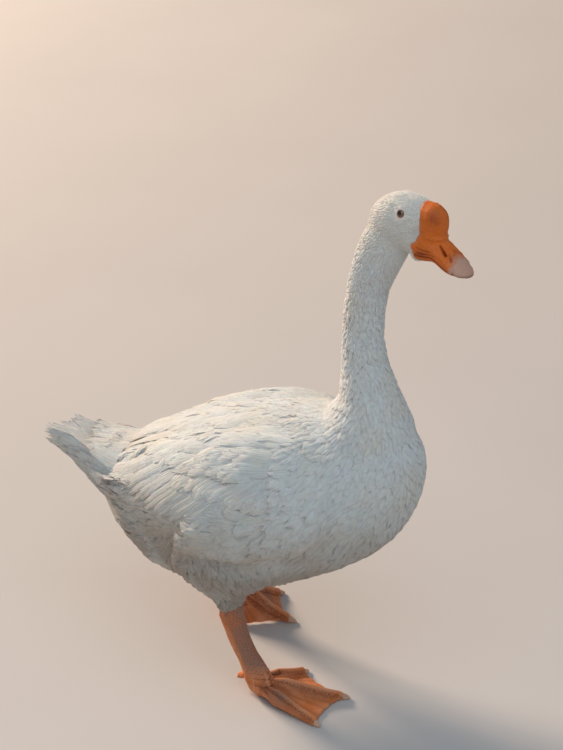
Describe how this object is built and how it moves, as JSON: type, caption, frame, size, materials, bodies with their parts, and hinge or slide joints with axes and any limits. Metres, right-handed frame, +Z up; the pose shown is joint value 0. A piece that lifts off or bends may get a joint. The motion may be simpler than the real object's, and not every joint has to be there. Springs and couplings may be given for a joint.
{
  "type": "domestic goose",
  "caption": "Life-size still model of a white knobbed domestic goose walking, neck raised, head turned a little to its right.",
  "frame": {"origin": "on the floor, under the middle of the whole bird's box", "axes": "+Z up, the bird faces -Y, its left side is +X"},
  "size_m": [0.2206, 0.4386, 0.5398],
  "materials": {
    "feathers": "soft matt white plumage, warm cream on the crown and back, grey-brown stains under the belly",
    "bill": "orange horn, finely pitted, brownish in the middle of the knob, semi-gloss",
    "nail": "pinkish-tan horn, lightly polished",
    "eye": "dark brown iris round a black pupil, wet gloss",
    "legs": "orange-brown scaly skin with a dusty bloom on the shank",
    "claws": "worn horn"
  },
  "bodies": {
    "root": {"trunk": "feathers", "tail_base": "feathers", "tail_fan": "feathers", "neck_lower": "feathers", "neck_middle": "feathers", "neck_upper": "feathers", "head": "feathers", "bill_knob": "bill", "bill_upper": "bill", "bill_lower": "bill", "bill_nail": "nail", "eye_left": "eye", "wing_shoulder_left": "feathers", "wing_flight_left": "feathers", "wing_tip_left": "feathers", "thigh_left": "feathers", "shank_left": "legs", "foot_left": "legs", "claw_inner_left": "claws", "claw_middle_left": "claws", "claw_outer_left": "claws", "claw_hind_left": "claws", "eye_right": "eye", "wing_shoulder_right": "feathers", "wing_flight_right": "feathers", "wing_tip_right": "feathers", "thigh_right": "feathers", "shank_right": "legs", "foot_right": "legs", "claw_inner_right": "claws", "claw_middle_right": "claws", "claw_outer_right": "claws", "claw_hind_right": "claws"}
  },
  "joints": []
}
